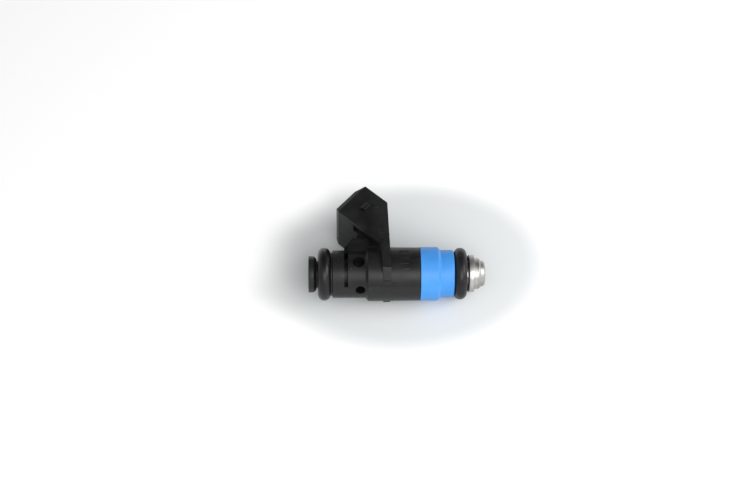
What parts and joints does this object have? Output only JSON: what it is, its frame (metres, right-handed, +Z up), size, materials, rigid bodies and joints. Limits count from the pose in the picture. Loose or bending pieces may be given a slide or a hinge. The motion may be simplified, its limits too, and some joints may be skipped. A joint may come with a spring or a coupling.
{
  "type": "fuel injector",
  "caption": "Short port fuel injector with an angled two-blade connector, two sealing O-rings, a light blue spacer ring and a sprung needle that lifts off its seat.",
  "frame": {"origin": "on the valve axis, at the middle of the rail O-ring", "axes": "+X along the valve axis from the inlet to the nozzle, +Y towards the connector, +Z across the two blades, so the part lies on one cheek of its connector with +Z up"},
  "size_m": [0.0493, 0.0314, 0.0194],
  "materials": {
    "black_moulding": "satin",
    "black_ring": "satin",
    "seal_rubber": "satin",
    "blue_plastic": "satin",
    "nozzle_steel": "turned",
    "turned_steel": "turned",
    "magnetic_steel": "satin",
    "spring_steel": "satin",
    "polished_ball": "polished",
    "tinned_blade": "satin",
    "copper_winding": "satin",
    "bobbin_plastic": "matte",
    "filter_plastic": "matte",
    "filter_gauze": "matte"
  },
  "bodies": {
    "injector_body": {"overmould_body": "black_moulding", "inlet_tube": "turned_steel", "inlet_flange_ring": "black_ring", "rail_o_ring": "seal_rubber", "rail_backup_washer": "black_ring", "filter_cage": "filter_plastic", "filter_mesh": "filter_gauze", "pole_core": "magnetic_steel", "adjusting_tube": "turned_steel", "return_spring": "spring_steel", "nonmagnetic_shell": "turned_steel", "flux_washer": "magnetic_steel", "coil_bobbin": "bobbin_plastic", "coil_winding": "copper_winding", "coil_housing": "magnetic_steel", "blade_left": "tinned_blade", "blade_right": "tinned_blade", "valve_body": "turned_steel", "ball_guide": "turned_steel", "valve_seat": "turned_steel", "orifice_disk": "turned_steel", "orifice_backup_ring": "turned_steel", "nozzle_cap": "nozzle_steel", "manifold_washer": "black_ring", "manifold_o_ring": "seal_rubber", "spacer_ring": "blue_plastic"},
    "valve_needle": {"armature": "magnetic_steel", "needle_tube": "turned_steel", "valve_ball": "polished_ball"}
  },
  "joints": [
    {"name": "needle_lift", "type": "slide", "parent": "injector_body", "child": "valve_needle", "axis": [-1, 0, 0], "range_m": [0, 0.00008], "stiffness_N_per_m": 2500, "springref_m": -0.0016, "deforming": ["return_spring"]}
  ]
}
